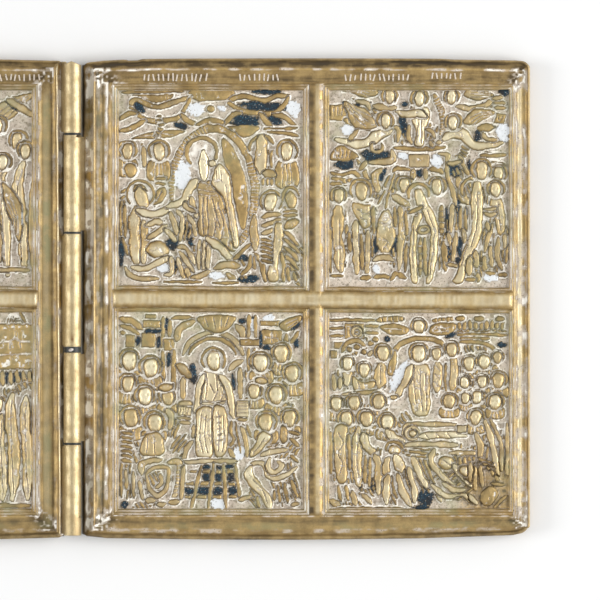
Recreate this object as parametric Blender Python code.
"""Folding brass altarpiece: three hinged leaves, each with four cast relief scenes.

It lies open on its back. +Z is up, +Y is the top of the scenes and +X is the viewer's right.
Blender units are metres. The scenes are drawn in millimetres from the centre of each field.
"""

import math

import bmesh
import bpy
from mathutils import Matrix

MM = 0.001

# Leaves
LEAF_HEIGHT = 103.5 * MM
WING_WIDTH = 96.0 * MM
FOLD_CLEARANCE = 0.8 * MM
CENTRE_WIDTH = WING_WIDTH + FOLD_CLEARANCE
RIM_HEIGHT = 4.0 * MM
CORNER_RADIUS = 2.6 * MM
CORNER_STEPS = 3

# Rim moulding, from the outer edge inwards
SHOULDER_DROP = 0.6 * MM
SHOULDER_WIDTH = 0.5 * MM
CREST_WIDTH = 0.5 * MM
COVE_WIDTH = 1.3 * MM
BAND_HEIGHT = 3.0 * MM

# Borders around the four fields, and the bars between them
WING_FLANGE = 2.1 * MM
CENTRE_FLANGE = 1.4 * MM
FLANGE_HEIGHT = 2.8 * MM
WING_HINGE_BORDER = 6.2 * MM
CENTRE_HINGE_BORDER = 5.2 * MM
FREE_BORDER = 3.6 * MM
TOP_BORDER = 5.5 * MM
BOTTOM_BORDER = 5.3 * MM
UPRIGHT_BAR = 3.3 * MM
CROSS_BAR = 4.6 * MM
WING_BAR_SHIFT = 0.95 * MM
CROSS_BAR_SHIFT = 0.55 * MM
LEDGE_WIDTH = 1.5 * MM
LEDGE_DROP = 0.3 * MM
GROUND_HEIGHT = 2.0 * MM

# Hinges
BARREL_RADIUS = 1.93 * MM
BORE_RADIUS = 1.15 * MM
PIN_RADIUS = 0.8 * MM
EDGE_CLEARANCE = 0.33 * MM
CLOSING_GAP = 0.3 * MM
KNUCKLE_SHARES = (0.151, 0.209, 0.247, 0.199, 0.194)
KNUCKLE_GAPS = (0.4 * MM, 0.4 * MM, 1.2 * MM, 0.4 * MM)
BARREL_END_INSET = 1.0 * MM
PIN_END_INSET = 0.4 * MM
WEB_THICKNESS = 1.2 * MM
WEB_FOOT = 0.3 * MM
BARREL_SIDES = 16
BORE_SIDES = 12

# Relief, above the ground of a field
HALO_RISE = 0.45 * MM
BODY_RISE = 0.8 * MM
HEAD_RISE = 1.0 * MM
LOW_RISE = 0.35 * MM
LAYER_STEP = 0.012 * MM
LAYERS = 7
RELIEF_ROOT = 0.8 * MM
DRAFT = 0.8
DRAWN_HALF_WIDTH = 19.5
DRAWN_HALF_HEIGHT = 21.0
ROBE_OUTLINE = ((-0.55, 1.0), (0.55, 1.0), (0.82, 0.55), (0.7, -0.3), (1.0, -1.0), (-1.0, -1.0),
                (-0.7, -0.3), (-0.82, 0.55))

# Sizes that follow
AXIS_OFFSET = BARREL_RADIUS + EDGE_CLEARANCE
LEFT_AXIS_X = -(CENTRE_WIDTH / 2 + AXIS_OFFSET)
RIGHT_AXIS_X = CENTRE_WIDTH / 2 + AXIS_OFFSET
LEFT_AXIS_Z = RIM_HEIGHT + CLOSING_GAP / 2
RIGHT_AXIS_Z = (RIM_HEIGHT + 2 * LEFT_AXIS_Z + CLOSING_GAP) / 2

SMOOTH_ANGLE = math.radians(32)

BRASS = ((0.56, 0.42, 0.20), 0.38, 1.0)
STEEL = ((0.45, 0.43, 0.40), 0.45, 1.0)


def material(name, finish):
    """A plain metal with this colour, roughness and metallic value."""
    colour, roughness, metallic = finish
    made = bpy.data.materials.new(name)
    made.use_nodes = True
    shader = made.node_tree.nodes["Principled BSDF"]
    shader.inputs["Base Color"].default_value = (*colour, 1.0)
    shader.inputs["Roughness"].default_value = roughness
    shader.inputs["Metallic"].default_value = metallic
    return made


def place(name, shape, collection, origin=(0.0, 0.0, 0.0), helper=False):
    """Turn a bmesh into a named object with this origin; a helper is only a cutter or a core."""
    mesh = bpy.data.meshes.new(name)
    bmesh.ops.recalc_face_normals(shape, faces=shape.faces)
    bmesh.ops.translate(shape, verts=shape.verts, vec=[-value for value in origin])
    shape.to_mesh(mesh)
    shape.free()
    mesh.shade_smooth()
    mesh.set_sharp_from_angle(angle=SMOOTH_ANGLE)
    made = bpy.data.objects.new(name, mesh)
    made.location = origin
    collection.objects.link(made)
    if helper:
        made.hide_render = True
        made.display_type = "WIRE"
    return made


def combine(target, tool, operation, use_self=False):
    """Add an exact Boolean of the target with the tool."""
    modifier = target.modifiers.new(tool.name, "BOOLEAN")
    modifier.operation = operation
    modifier.object = tool
    modifier.solver = "EXACT"
    modifier.use_self = use_self


def add_block(shape, low, high):
    """Add a box between two corners."""
    made = bmesh.ops.create_cube(shape, size=1.0)["verts"]
    for vertex in made:
        for axis in range(3):
            vertex.co[axis] = low[axis] if vertex.co[axis] < 0 else high[axis]
    return made


def add_rod(shape, x, z, y_low, y_high, radius, sides):
    """Add a cylinder along Y."""
    turn = Matrix.Rotation(math.pi / 2, 4, "X")
    spot = Matrix.Translation((x, (y_low + y_high) / 2, z))
    bmesh.ops.create_cone(
        shape, cap_ends=True, segments=sides, radius1=radius, radius2=radius,
        depth=y_high - y_low, matrix=spot @ turn,
    )


class Field:
    """One sunk field of a leaf, on which relief is laid in the drawing's own millimetres."""

    def __init__(self, shape, centre, size):
        self.shape = shape
        self.centre = centre
        self.scale = (size[0] / 2 / DRAWN_HALF_WIDTH, size[1] / 2 / DRAWN_HALF_HEIGHT)
        self.count = 0

    def prism(self, x, y, outline, rise, turn=0.0):
        """A low drafted form whose outline is given around (x, y). Turn is in degrees."""
        self.count += 1
        top = GROUND_HEIGHT + rise + (self.count % LAYERS) * LAYER_STEP
        angle = math.radians(turn)
        made = bmesh.ops.create_cone(
            self.shape, cap_ends=True, segments=len(outline), radius1=1.0, radius2=1.0, depth=1.0
        )["verts"]
        for vertex in made:
            step = math.atan2(-vertex.co.x, vertex.co.y) / (2 * math.pi) * len(outline)
            across, along = outline[round(step) % len(outline)]
            draw = DRAFT if vertex.co.z > 0 else 1.0
            u = x + draw * (across * math.cos(angle) - along * math.sin(angle))
            v = y + draw * (across * math.sin(angle) + along * math.cos(angle))
            vertex.co.x = self.centre[0] + u * self.scale[0]
            vertex.co.y = self.centre[1] + v * self.scale[1]
            vertex.co.z = top if vertex.co.z > 0 else GROUND_HEIGHT - RELIEF_ROOT

    def lump(self, x, y, half_width, half_height, rise=BODY_RISE, sides=6, turn=0.0):
        """An oval form, or a rectangular one when it has four sides."""
        if sides == 4:
            corners = ((-1, -1), (1, -1), (1, 1), (-1, 1))
        else:
            steps = [2 * math.pi * (index + 0.5) / sides for index in range(sides)]
            corners = [(math.cos(step), math.sin(step)) for step in steps]
        self.prism(x, y, [(a * half_width, b * half_height) for a, b in corners], rise, turn)

    def robe(self, x, top, foot, width, lean=0.0):
        """A draped body, narrow at the shoulders and widest at its hem; lean moves the hem."""
        half = (top - foot) / 2
        outline = [(a * width / 2 - lean * (b - 1) / 2, b * half) for a, b in ROBE_OUTLINE]
        self.prism(x, foot + half, outline, BODY_RISE)

    def head(self, x, y, radius=2.2):
        """A head before its halo."""
        self.lump(x, y, radius, radius, HALO_RISE, 6)
        self.lump(x, y - 0.15 * radius, 0.5 * radius, 0.68 * radius, HEAD_RISE, 5)

    def figure(self, x, top, foot, width, halo=2.2, lean=0.0):
        """A robed standing figure with a halo; lean moves its hem sideways."""
        self.robe(x, top - 1.75 * halo, foot, width, lean)
        self.head(x, top - halo, halo)

    def row(self, places, radius=2.0):
        """Haloed heads of a crowd."""
        for x, y in places:
            self.head(x, y, radius)


def descent(field):
    """A standing figure in a pointed glory raises two kneeling ones."""
    field.lump(0.5, -1.0, 9.0, 14.0, LOW_RISE, 12)
    field.lump(-11.0, 17.0, 6.8, 2.4, LOW_RISE, 7)
    field.lump(11.2, 17.4, 6.0, 2.2, LOW_RISE, 7)
    field.figure(-1.4, 10.6, -18.0, 6.4, 3.3, 3.6)
    field.figure(-15.4, 1.4, -18.6, 5.0, 2.9)
    field.figure(13.0, -0.2, -19.4, 4.4, 2.7, 0.8)
    field.lump(-8.5, -3.6, 1.2, 5.0, BODY_RISE, 6, -68.0)
    field.lump(-12.0, -14.5, 2.3, 2.6)
    field.lump(10.4, 6.2, 1.3, 4.4)
    field.row(((-17.4, 7.8), (-11.2, 7.9), (16.4, 8.2), (17.4, -3.0)))


def ascension(field):
    """An enthroned figure carried by flying angels over a standing row."""
    field.figure(0.2, 21.0, 9.0, 3.6, 2.1)
    field.row(((-6.6, 19.4), (-7.0, 14.4), (7.0, 19.3), (7.6, 14.2)), 1.9)
    for x, y, half, turn in ((-12.4, 19.6, 4.2, 84), (-13.4, 15.6, 5.0, 64), (13.2, 19.6, 4.4, 94),
                             (13.6, 14.8, 4.2, 112), (-10.6, 10.6, 5.0, 84), (11.6, 10.2, 5.0, 100)):
        field.lump(x, y, 1.5, half, BODY_RISE, 6, turn)
    for x, top, width, halo, lean in ((-17.0, 1.2, 2.8, 1.9, 0.0), (-12.6, 2.0, 4.0, 2.1, 0.0),
                                      (0.2, 0.8, 5.4, 2.0, 0.6), (12.8, 2.6, 3.2, 2.1, -4.0),
                                      (16.8, 2.2, 4.0, 2.0, 0.0)):
        field.figure(x, top, -19.4, width, halo, lean)
    field.lump(-6.6, -8.0, 1.8, 7.2, BODY_RISE, 6)
    field.lump(7.2, -7.6, 2.0, 8.0, BODY_RISE, 6)


def enthroned(field):
    """A figure enthroned under an arch between two crowds, with steps below."""
    field.lump(0.4, 19.0, 3.6, 2.2, BODY_RISE, 6)
    for x in (-9.4, -6.4, 6.6, 9.0):
        field.lump(x, 10.0, 0.8, 7.0, BODY_RISE, 4)
    field.figure(0.5, 14.8, -8.6, 6.8, 2.9)
    field.lump(0.5, -14.6, 7.8, 5.8, LOW_RISE, 4)
    field.row(((-17.8, 11.6), (-13.0, 9.4), (-14.6, 3.4), (-17.4, -1.2), (10.6, 11.0),
               (15.4, 13.4), (14.4, 4.2), (16.8, -0.4)))
    field.figure(-12.4, 0.6, -17.6, 5.6, 2.3)
    field.figure(11.6, 0.8, -18.8, 4.6, 2.3, 2.0)


def falling_asleep(field):
    """A couch with a lying figure, mourners around it and a standing figure behind."""
    field.figure(-0.2, 16.6, -1.0, 5.4, 2.4)
    field.lump(3.2, -4.2, 2.7, 7.6, BODY_RISE, 6, 90)
    field.lump(-12.0, 18.6, 6.0, 1.8, LOW_RISE, 4)
    field.lump(13.6, 18.6, 5.6, 1.8, LOW_RISE, 4)
    field.row(((-8.0, 13.2), (-11.8, 9.8), (-8.8, 3.0), (-6.6, -1.6), (7.0, 13.8),
               (6.8, 3.0), (16.6, 7.4), (0.0, 19.0)))
    for x, top, foot, width, lean in ((-15.8, 1.2, -19.0, 3.4, -1.0), (-11.4, 1.4, -19.2, 3.8, -0.4),
                                      (12.4, 2.0, -15.0, 5.2, 3.0)):
        field.figure(x, top, foot, width, 2.0, lean)
    field.lump(-4.2, -13.4, 1.8, 6.2, BODY_RISE, 6, -12)
    field.lump(7.0, -13.0, 1.6, 6.4, BODY_RISE, 6, 40)


def annunciation(field):
    """A striding angel greets a standing figure before a tower."""
    field.figure(-9.0, 11.0, -17.6, 6.6, 2.7, 1.6)
    field.lump(-15.4, 3.0, 2.0, 8.0, BODY_RISE, 6, -16)
    field.lump(-4.6, -1.0, 1.0, 4.6, BODY_RISE, 6, -60)
    field.figure(9.6, 10.6, -17.6, 6.6, 2.6)
    field.lump(15.6, -7.6, 2.2, 9.6, LOW_RISE, 4)
    for x, half in ((-14.0, 4.4), (0.0, 5.6), (14.4, 5.2)):
        field.lump(x, 16.2, half, 3.4, LOW_RISE, 4)
    field.lump(0.5, -18.8, 17.0, 1.2, LOW_RISE, 6)
    field.head(1.2, 8.0, 2.0)


def cave_birth(field):
    """A reclining figure in a cave, with angels, riders and shepherds on the rocks."""
    field.lump(0.0, -0.5, 11.0, 8.6, LOW_RISE, 9)
    field.lump(-2.0, 0.6, 2.6, 7.4, BODY_RISE, 6, 66)
    field.head(-7.6, 4.4, 2.4)
    field.lump(5.0, 5.0, 1.5, 3.6, BODY_RISE, 4, 90)
    field.row(((-11.0, 14.4), (-5.6, 15.2), (6.2, 15.0), (11.8, 14.2)), 2.0)
    field.figure(-15.0, 8.0, -8.0, 3.8, 1.9)
    field.figure(15.4, 8.4, -7.0, 3.8, 1.9)
    field.figure(-14.4, -8.0, -19.6, 5.2, 2.1)
    field.figure(13.6, -8.4, -19.6, 4.4, 2.0)
    field.lump(2.6, -15.6, 3.0, 3.2, BODY_RISE, 7)


def house_birth(field):
    """A reclining figure on a couch, attendants bringing gifts, and houses behind."""
    for x, half in ((-13.6, 4.6), (0.4, 5.4), (13.4, 4.8)):
        field.lump(x, 16.4, half, 3.4, LOW_RISE, 4)
    field.lump(-4.6, -1.6, 3.0, 9.0, BODY_RISE, 6, 74)
    field.head(-12.6, 4.4, 2.5)
    for x, top, lean in ((4.4, 10.8, 0.4), (9.8, 11.4, 0.0), (15.2, 10.6, -0.4)):
        field.figure(x, top, -8.0, 4.2, 2.1, lean)
    field.figure(-13.4, -6.4, -19.4, 5.0, 2.0)
    field.lump(-4.6, -15.4, 2.6, 3.0, BODY_RISE, 7)
    field.figure(2.6, -7.4, -19.4, 4.2, 2.0)
    field.figure(14.0, -9.4, -19.4, 3.8, 1.9)


def temple_entry(field):
    """A small figure led to a priest on the steps, with a train of maidens."""
    for x, half in ((-12.6, 5.4), (3.0, 4.8)):
        field.lump(x, 17.0, half, 2.8, LOW_RISE, 4)
    field.lump(13.6, 14.6, 4.6, 5.0, BODY_RISE, 6)
    field.figure(11.4, 8.4, -13.0, 5.6, 2.5)
    field.lump(13.4, -16.4, 7.2, 3.6, LOW_RISE, 4)
    field.figure(4.2, -1.2, -17.8, 3.4, 1.9)
    for x, top in ((-1.8, 8.6), (-7.8, 9.4), (-13.4, 8.8)):
        field.figure(x, top, -18.4, 4.6, 2.3)
    field.row(((-5.0, 12.6), (-10.6, 13.2), (-16.2, 12.2)), 1.8)


def meeting(field):
    """Two pairs of figures meet across an altar under a canopy."""
    field.lump(0.0, 14.6, 5.2, 5.0, BODY_RISE, 6)
    field.lump(0.0, -9.6, 3.4, 6.4, LOW_RISE, 4)
    for x, top, width, halo, lean in ((-15.4, 8.0, 4.2, 2.2, 0.0), (-9.0, 7.8, 5.2, 2.4, -0.8),
                                      (9.0, 7.0, 5.6, 2.5, 1.8), (15.6, 8.2, 4.2, 2.2, 0.0)):
        field.figure(x, top, -18.6, width, halo, lean)
    for x in (-13.6, 13.8):
        field.lump(x, 15.8, 4.8, 3.6, LOW_RISE, 4)
    field.head(-1.6, 3.4, 1.8)
    field.lump(0.0, -19.0, 17.0, 1.1, LOW_RISE, 6)


def baptism(field):
    """A standing figure in a river, a baptist on one bank and angels on the other."""
    field.lump(0.0, -6.6, 5.2, 13.0, LOW_RISE, 8)
    field.figure(0.0, 9.4, -16.4, 4.2, 2.5)
    field.figure(-11.8, 9.0, -14.0, 5.6, 2.3, -1.8)
    field.lump(-5.6, 5.6, 0.9, 4.2, BODY_RISE, 6, -62)
    for x, top, foot, width in ((8.8, 8.6, -16.0, 4.4), (14.8, 11.6, -15.4, 4.2)):
        field.figure(x, top, foot, width, 2.1)
    field.lump(15.2, 15.8, 1.6, 4.8, BODY_RISE, 6, -40)
    field.head(16.6, 3.0, 1.8)
    field.lump(0.0, 17.4, 4.4, 2.4, LOW_RISE, 7)
    for x in (-15.6, 15.6):
        field.lump(x, -17.6, 3.4, 2.4, LOW_RISE, 5)


def transfiguration(field):
    """A figure in a glory on the mount, two elders beside it and three fallen ones below."""
    field.lump(0.0, 9.0, 8.0, 10.4, LOW_RISE, 12)
    field.figure(0.0, 18.4, -1.0, 4.8, 2.4)
    field.figure(-13.0, 16.4, -1.4, 4.2, 2.1, 0.8)
    field.figure(13.0, 16.4, -1.4, 4.2, 2.1, -0.8)
    for x, half in ((-12.6, 5.4), (0.0, 5.0), (12.6, 5.4)):
        field.lump(x, -5.0, half, 3.4, LOW_RISE, 5)
    for x, y, turn in ((-12.6, -13.6, 40), (0.0, -15.0, 78), (12.4, -13.4, -36)):
        field.lump(x, y, 2.2, 5.2, BODY_RISE, 6, turn)
    field.row(((-14.8, -9.4), (-5.6, -13.0), (14.8, -9.2)), 2.0)


def city_entry(field):
    """A rider and followers come to a walled city, where a crowd waits."""
    field.lump(13.6, 14.6, 5.2, 4.2, BODY_RISE, 4)
    field.lump(-2.6, -7.0, 2.9, 6.4, BODY_RISE, 7, 84)
    field.figure(-2.6, 9.0, -5.0, 5.0, 2.5)
    for x in (-7.0, -4.4, 0.6, 3.0):
        field.lump(x, -13.8, 0.6, 3.8, BODY_RISE, 4)
    field.row(((-12.0, 9.6), (-16.0, 5.6), (16.2, 6.0), (11.0, 6.6)), 2.1)
    field.figure(-13.2, 4.6, -18.0, 5.2, 2.2)
    field.figure(14.6, 4.6, -17.6, 5.4, 2.1)
    field.figure(9.4, 2.2, -18.0, 3.8, 2.0)
    field.lump(-14.2, 16.6, 4.2, 3.6, LOW_RISE, 5)
    field.lump(2.0, 15.0, 1.2, 5.0, BODY_RISE, 6)


class Leaf:
    """One leaf: where it lies, which of its sides are hinged and what its fields show."""

    def __init__(self, name, origin, low_x, width, hinge_left, hinge_right, flange, hinge_border,
                 bar_shift, scenes):
        self.name = name
        self.origin = origin
        self.low_x = low_x
        self.high_x = low_x + width
        self.hinge_left = hinge_left
        self.hinge_right = hinge_right
        self.flange = flange
        self.left_border = hinge_border if hinge_left else FREE_BORDER
        self.right_border = hinge_border if hinge_right else FREE_BORDER
        self.bar_shift = bar_shift
        self.scenes = scenes

    def windows(self):
        """Low and high corners of the four fields, top left, top right, bottom left, bottom right."""
        left = self.low_x + self.left_border
        right = self.high_x - self.right_border
        top = LEAF_HEIGHT / 2 - TOP_BORDER
        bottom = -LEAF_HEIGHT / 2 + BOTTOM_BORDER
        bar_x = (left + right) / 2 + self.bar_shift
        bar_y = (top + bottom) / 2 - CROSS_BAR_SHIFT
        columns = ((left, bar_x - UPRIGHT_BAR / 2), (bar_x + UPRIGHT_BAR / 2, right))
        rows = ((bar_y + CROSS_BAR / 2, top), (bottom, bar_y - CROSS_BAR / 2))
        return [((c[0], r[0]), (c[1], r[1])) for r in rows for c in columns]


def rimmed_plate(leaf, collection):
    """The plate with its moulded rim and the sunk band inside it."""
    low = leaf.low_x + (leaf.flange if leaf.hinge_left else 0.0)
    high = leaf.high_x - (leaf.flange if leaf.hinge_right else 0.0)
    shape = bmesh.new()
    bmesh.ops.create_grid(shape, x_segments=1, y_segments=1, size=0.5)
    for vertex in shape.verts:
        vertex.co.x = (low + high) / 2 + vertex.co.x * (high - low)
        vertex.co.y *= LEAF_HEIGHT
    bmesh.ops.bevel(
        shape, geom=shape.verts[:], offset=CORNER_RADIUS, segments=CORNER_STEPS,
        profile=0.5, affect="VERTICES",
    )
    grown = bmesh.ops.extrude_face_region(shape, geom=shape.faces[:], use_keep_orig=True)["geom"]
    top = next(item for item in grown if isinstance(item, bmesh.types.BMFace))
    bmesh.ops.translate(shape, verts=top.verts[:], vec=(0, 0, RIM_HEIGHT - SHOULDER_DROP))
    bmesh.ops.recalc_face_normals(shape, faces=shape.faces)
    for width, rise in ((SHOULDER_WIDTH, SHOULDER_DROP), (CREST_WIDTH, 0.0),
                        (COVE_WIDTH, BAND_HEIGHT - RIM_HEIGHT)):
        bmesh.ops.inset_region(shape, faces=[top], thickness=width, depth=rise)
    return place(leaf.name, shape, collection, leaf.origin)


def field_cutter(leaf, collection):
    """The four windows, each a ledge and then the ground, as one cutter."""
    shape = bmesh.new()
    above = RIM_HEIGHT + 1.0 * MM
    for low, high in leaf.windows():
        add_block(shape, (*low, BAND_HEIGHT - LEDGE_DROP), (*high, above))
        add_block(
            shape,
            (low[0] + LEDGE_WIDTH, low[1] + LEDGE_WIDTH, GROUND_HEIGHT),
            (high[0] - LEDGE_WIDTH, high[1] - LEDGE_WIDTH, above + 1.0 * MM),
        )
    return place(leaf.name + "_windows", shape, collection, helper=True)


def relief_core(leaf, collection):
    """Every raised form of the leaf's four scenes."""
    shape = bmesh.new()
    for (low, high), scene in zip(leaf.windows(), leaf.scenes):
        centre = ((low[0] + high[0]) / 2, (low[1] + high[1]) / 2)
        size = (high[0] - low[0] - 2 * LEDGE_WIDTH, high[1] - low[1] - 2 * LEDGE_WIDTH)
        scene(Field(shape, centre, size))
    return place(leaf.name + "_relief", shape, collection, helper=True)


def knuckle_spans():
    """The low and high Y of the five knuckles, from the top down."""
    length = LEAF_HEIGHT - 2 * BARREL_END_INSET
    top = length / 2
    spans = []
    used = 0.0
    for index, share in enumerate(KNUCKLE_SHARES):
        gap_above = KNUCKLE_GAPS[index - 1] / 2 if index else 0.0
        gap_below = KNUCKLE_GAPS[index] / 2 if index < len(KNUCKLE_GAPS) else 0.0
        start = top - used * length
        used += share
        spans.append((top - used * length + gap_below, start - gap_above))
    return spans


def hinge_core(leaf, axis_x, axis_z, indices, collection):
    """The flange strip with the leaf's own knuckles and the webs that carry them."""
    side = 1.0 if axis_x > (leaf.low_x + leaf.high_x) / 2 else -1.0
    edge = axis_x - side * AXIS_OFFSET
    root = edge - side * (leaf.flange + SHOULDER_WIDTH + CREST_WIDTH / 2)
    shape = bmesh.new()
    reach = LEAF_HEIGHT / 2 - CORNER_RADIUS / 2
    add_block(
        shape, (min(edge, root), -reach, CLOSING_GAP / 2), (max(edge, root), reach, FLANGE_HEIGHT)
    )
    for index in indices:
        low, high = knuckle_spans()[index]
        add_rod(shape, axis_x, axis_z, low, high, BARREL_RADIUS, BARREL_SIDES)
        inner = axis_x - side * (BARREL_RADIUS - WEB_THICKNESS)
        web = add_block(
            shape,
            (min(edge, inner), low + WEB_FOOT, WEB_FOOT),
            (max(edge, inner), high - WEB_FOOT, axis_z + BARREL_RADIUS / 4),
        )
        for vertex in web:
            outer = abs(vertex.co.x - edge) < abs(vertex.co.x - inner)
            if outer and vertex.co.z < axis_z:
                vertex.co.x -= side * WEB_THICKNESS / 2
            elif outer:
                vertex.co.x = axis_x - side * 0.85 * BARREL_RADIUS
    name = leaf.name + ("_right_knuckles" if side > 0 else "_left_knuckles")
    return place(name, shape, collection, helper=True)


def bore_cutter(name, axis_x, axis_z, collection):
    """The hole for a hinge pin, through every knuckle of one hinge."""
    shape = bmesh.new()
    add_rod(shape, axis_x, axis_z, -LEAF_HEIGHT, LEAF_HEIGHT, BORE_RADIUS, BORE_SIDES)
    return place(name, shape, collection, helper=True)


def hinge_pin(name, axis_x, axis_z, collection):
    """A straight wire pin, a little shorter than the barrel."""
    shape = bmesh.new()
    reach = LEAF_HEIGHT / 2 - BARREL_END_INSET - PIN_END_INSET
    add_rod(shape, axis_x, axis_z, -reach, reach, PIN_RADIUS, BORE_SIDES)
    return place(name, shape, collection, (axis_x, 0.0, axis_z))


def new_collection(name):
    made = bpy.data.collections.new(name)
    bpy.context.scene.collection.children.link(made)
    return made


def main():
    for old in list(bpy.data.objects):
        bpy.data.objects.remove(old)
    parts = new_collection("folding_altarpiece")
    helpers = new_collection("cutters")
    brass = material("cast_brass", BRASS)
    steel = material("pin_wire", STEEL)

    left_low = LEFT_AXIS_X - AXIS_OFFSET - WING_WIDTH
    right_low = RIGHT_AXIS_X + AXIS_OFFSET
    leaves = (
        Leaf("left_wing", (LEFT_AXIS_X, 0.0, LEFT_AXIS_Z), left_low, WING_WIDTH, False, True,
             WING_FLANGE, WING_HINGE_BORDER, -WING_BAR_SHIFT,
             (annunciation, cave_birth, house_birth, temple_entry)),
        Leaf("centre_leaf", (0.0, 0.0, 0.0), -CENTRE_WIDTH / 2, CENTRE_WIDTH, True, True,
             CENTRE_FLANGE, CENTRE_HINGE_BORDER, 0.0, (meeting, baptism, transfiguration, city_entry)),
        Leaf("right_wing", (RIGHT_AXIS_X, 0.0, RIGHT_AXIS_Z), right_low, WING_WIDTH, True, False,
             WING_FLANGE, WING_HINGE_BORDER, WING_BAR_SHIFT, (descent, ascension, enthroned, falling_asleep)),
    )
    hinges = {"left": (LEFT_AXIS_X, LEFT_AXIS_Z), "right": (RIGHT_AXIS_X, RIGHT_AXIS_Z)}
    owners = {"left": ("left_wing", "centre_leaf"), "right": ("centre_leaf", "right_wing")}
    bores = {side: bore_cutter(side + "_bore", *axis, helpers) for side, axis in hinges.items()}

    for leaf in leaves:
        made = rimmed_plate(leaf, parts)
        made.data.materials.append(brass)
        combine(made, field_cutter(leaf, helpers), "DIFFERENCE", use_self=True)
        combine(made, relief_core(leaf, helpers), "UNION", use_self=True)
        for side, axis in hinges.items():
            if leaf.name in owners[side]:
                indices = (0, 2, 4) if leaf.name == "centre_leaf" else (1, 3)
                combine(made, hinge_core(leaf, *axis, indices, helpers), "UNION", use_self=True)
                combine(made, bores[side], "DIFFERENCE")
    for side, axis in hinges.items():
        hinge_pin(side + "_hinge_pin", *axis, parts).data.materials.append(steel)


main()
